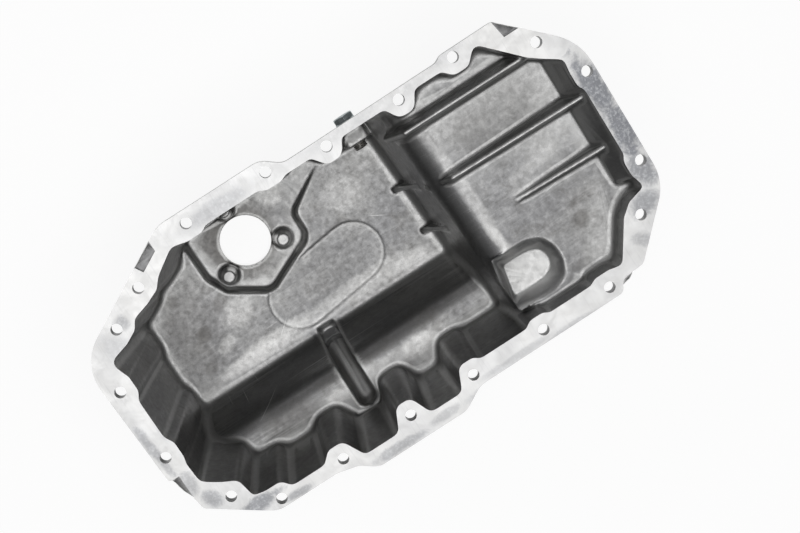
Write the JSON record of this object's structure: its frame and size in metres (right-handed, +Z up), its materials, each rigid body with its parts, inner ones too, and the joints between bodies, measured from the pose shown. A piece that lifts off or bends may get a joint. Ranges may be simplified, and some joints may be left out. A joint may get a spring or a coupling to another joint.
{
  "type": "engine oil pan",
  "caption": "Cast aluminium engine oil pan with a deep sump, a shelf, a shallow ribbed floor, a bolted gasket flange, a level sensor bore and a screwed drain plug.",
  "frame": {"origin": "under the middle of the flange, on the plane of the lowest face, which is the sensor pad under the sump", "axes": "+X along the engine from the deep sump to the shallow end, +Y across it towards the drain plug's side, +Z up out of the open top"},
  "size_m": [0.4436, 0.2476, 0.165],
  "materials": {
    "cast_aluminium": "as cast, with a machined flange face",
    "plug_steel": "dark zinc plating",
    "ring_aluminium": "bright"
  },
  "bodies": {
    "pan": {"pan_casting": "cast_aluminium"},
    "seal_ring": {"plug_washer": "ring_aluminium"},
    "plug": {"drain_plug": "plug_steel"}
  },
  "joints": [
    {"name": "plug_travel", "type": "slide", "parent": "pan", "child": "seal_ring", "axis": [0, 1, 0], "range_m": [0, 0.027]},
    {"name": "plug_turn", "type": "hinge", "parent": "seal_ring", "child": "plug", "pos_m": [0.04445, 0.10405, 0.028], "axis": [0, 1, 0], "range_deg": [0, 6481]}
  ],
  "couplings": [
    {"joint": "plug_turn", "follows": "plug_travel", "rad_per_m": 4188.8}
  ]
}
